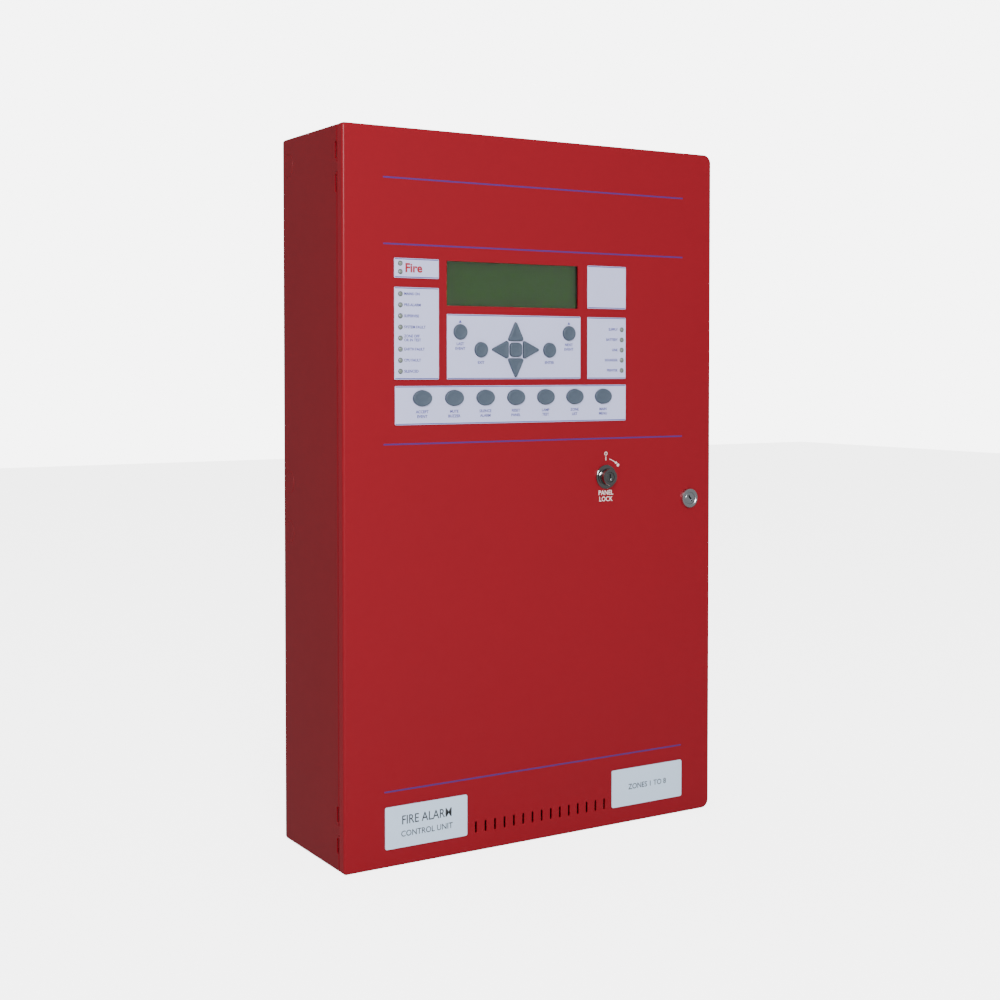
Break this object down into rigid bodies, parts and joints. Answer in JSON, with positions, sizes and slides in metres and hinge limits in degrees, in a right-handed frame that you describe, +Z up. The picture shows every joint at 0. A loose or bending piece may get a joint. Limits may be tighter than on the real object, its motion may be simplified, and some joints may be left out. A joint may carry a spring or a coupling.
{
  "type": "fire alarm control panel",
  "caption": "Red steel wall cabinet with a hinged lockable door carrying a display window, press keys, lamps and a key switch, with boards, power supply and standby batteries inside.",
  "frame": {"origin": "centre of the cabinet's flat rear face, which lies against the wall", "axes": "+X to the right seen from the front, +Y into the wall, +Z up; the door faces -Y"},
  "size_m": [0.434, 0.1535, 0.7],
  "materials": {
    "red_enamel": "satin",
    "red_enamel_box": "satin",
    "zinc_steel": "satin",
    "chrome": "polished",
    "label_white": "satin film",
    "plate_grey": "satin",
    "key_rubber": "matt",
    "lamp_lens": "clear moulding",
    "board_green": "solder mask",
    "terminal_green": "satin",
    "lcd_green": "gloss",
    "clear_window": "clear",
    "black_plastic": "matt",
    "battery_case": "matt",
    "supply_case": "satin",
    "lead_red": "satin",
    "lead_black": "satin",
    "lead_green": "satin",
    "ribbon_grey": "matt"
  },
  "bodies": {
    "cabinet": {"back_box": "red_enamel_box", "chassis_plate": "zinc_steel", "main_board": "board_green", "field_terminals": "terminal_green", "loop_card": "board_green", "power_supply": "supply_case", "mains_terminal_block": "black_plastic", "battery_left": "battery_case", "battery_right": "battery_case", "battery_lead_positive": "lead_red", "battery_lead_negative": "lead_black", "battery_link_lead": "lead_black", "upper_hinge_bracket": "zinc_steel", "lower_hinge_bracket": "zinc_steel", "upper_hinge_pin": "zinc_steel", "lower_hinge_pin": "zinc_steel", "lock_strike": "zinc_steel", "earth_stud": "zinc_steel", "display_ribbon": "ribbon_grey", "door_earth_lead": "lead_green"},
    "door": {"door_panel": "red_enamel", "upper_hinge_arm": "zinc_steel", "lower_hinge_arm": "zinc_steel", "display_board": "board_green", "lcd_module": "lcd_green", "lcd_window": "clear_window", "sounder": "black_plastic", "fire_lamps": "lamp_lens", "status_lamps": "lamp_lens", "trouble_lamps": "lamp_lens", "fire_label": "label_white", "status_label": "label_white", "message_label": "label_white", "trouble_label": "label_white", "navigation_label": "label_white", "function_label": "label_white", "name_plate": "plate_grey", "info_plate": "plate_grey", "lock_body": "chrome", "key_switch_body": "chrome"},
    "lock": {"lock_plug": "chrome", "lock_cam": "zinc_steel"},
    "key_switch": {"key_switch_plug": "chrome"},
    "function_button_1": {"function_button_1": "key_rubber"},
    "function_button_2": {"function_button_2": "key_rubber"},
    "function_button_3": {"function_button_3": "key_rubber"},
    "function_button_4": {"function_button_4": "key_rubber"},
    "function_button_5": {"function_button_5": "key_rubber"},
    "function_button_6": {"function_button_6": "key_rubber"},
    "function_button_7": {"function_button_7": "key_rubber"},
    "upper_left_button": {"upper_left_button": "key_rubber"},
    "upper_right_button": {"upper_right_button": "key_rubber"},
    "exit_button": {"exit_button": "key_rubber"},
    "enter_button": {"enter_button": "key_rubber"},
    "centre_button": {"centre_button": "key_rubber"},
    "arrow_up_button": {"arrow_up_button": "key_rubber"},
    "arrow_down_button": {"arrow_down_button": "key_rubber"},
    "arrow_left_button": {"arrow_left_button": "key_rubber"},
    "arrow_right_button": {"arrow_right_button": "key_rubber"}
  },
  "joints": [
    {"name": "door_hinge", "type": "hinge", "parent": "cabinet", "child": "door", "pos_m": [-0.2107, -0.125, 0], "axis": [0, 0, -1], "range_deg": [0, 110], "deforming": ["display_ribbon", "door_earth_lead"]},
    {"name": "lock_turn", "type": "hinge", "parent": "door", "child": "lock", "pos_m": [0.188, -0.145, -0.0145], "axis": [0, -1, 0], "range_deg": [0, 90]},
    {"name": "key_switch_turn", "type": "hinge", "parent": "door", "child": "key_switch", "pos_m": [0.0802, -0.145, 0.012], "axis": [0, 1, 0], "range_deg": [0, 45]},
    {"name": "function_button_1_press", "type": "slide", "parent": "door", "child": "function_button_1", "axis": [0, 1, 0], "range_m": [0, 0.0012], "stiffness_N_per_m": 400},
    {"name": "function_button_2_press", "type": "slide", "parent": "door", "child": "function_button_2", "axis": [0, 1, 0], "range_m": [0, 0.0012], "stiffness_N_per_m": 400},
    {"name": "function_button_3_press", "type": "slide", "parent": "door", "child": "function_button_3", "axis": [0, 1, 0], "range_m": [0, 0.0012], "stiffness_N_per_m": 400},
    {"name": "function_button_4_press", "type": "slide", "parent": "door", "child": "function_button_4", "axis": [0, 1, 0], "range_m": [0, 0.0012], "stiffness_N_per_m": 400},
    {"name": "function_button_5_press", "type": "slide", "parent": "door", "child": "function_button_5", "axis": [0, 1, 0], "range_m": [0, 0.0012], "stiffness_N_per_m": 400},
    {"name": "function_button_6_press", "type": "slide", "parent": "door", "child": "function_button_6", "axis": [0, 1, 0], "range_m": [0, 0.0012], "stiffness_N_per_m": 400},
    {"name": "function_button_7_press", "type": "slide", "parent": "door", "child": "function_button_7", "axis": [0, 1, 0], "range_m": [0, 0.0012], "stiffness_N_per_m": 400},
    {"name": "upper_left_button_press", "type": "slide", "parent": "door", "child": "upper_left_button", "axis": [0, 1, 0], "range_m": [0, 0.0012], "stiffness_N_per_m": 400},
    {"name": "upper_right_button_press", "type": "slide", "parent": "door", "child": "upper_right_button", "axis": [0, 1, 0], "range_m": [0, 0.0012], "stiffness_N_per_m": 400},
    {"name": "exit_button_press", "type": "slide", "parent": "door", "child": "exit_button", "axis": [0, 1, 0], "range_m": [0, 0.0012], "stiffness_N_per_m": 400},
    {"name": "enter_button_press", "type": "slide", "parent": "door", "child": "enter_button", "axis": [0, 1, 0], "range_m": [0, 0.0012], "stiffness_N_per_m": 400},
    {"name": "centre_button_press", "type": "slide", "parent": "door", "child": "centre_button", "axis": [0, 1, 0], "range_m": [0, 0.0012], "stiffness_N_per_m": 400},
    {"name": "arrow_up_button_press", "type": "slide", "parent": "door", "child": "arrow_up_button", "axis": [0, 1, 0], "range_m": [0, 0.0012], "stiffness_N_per_m": 400},
    {"name": "arrow_down_button_press", "type": "slide", "parent": "door", "child": "arrow_down_button", "axis": [0, 1, 0], "range_m": [0, 0.0012], "stiffness_N_per_m": 400},
    {"name": "arrow_left_button_press", "type": "slide", "parent": "door", "child": "arrow_left_button", "axis": [0, 1, 0], "range_m": [0, 0.0012], "stiffness_N_per_m": 400},
    {"name": "arrow_right_button_press", "type": "slide", "parent": "door", "child": "arrow_right_button", "axis": [0, 1, 0], "range_m": [0, 0.0012], "stiffness_N_per_m": 400}
  ]
}
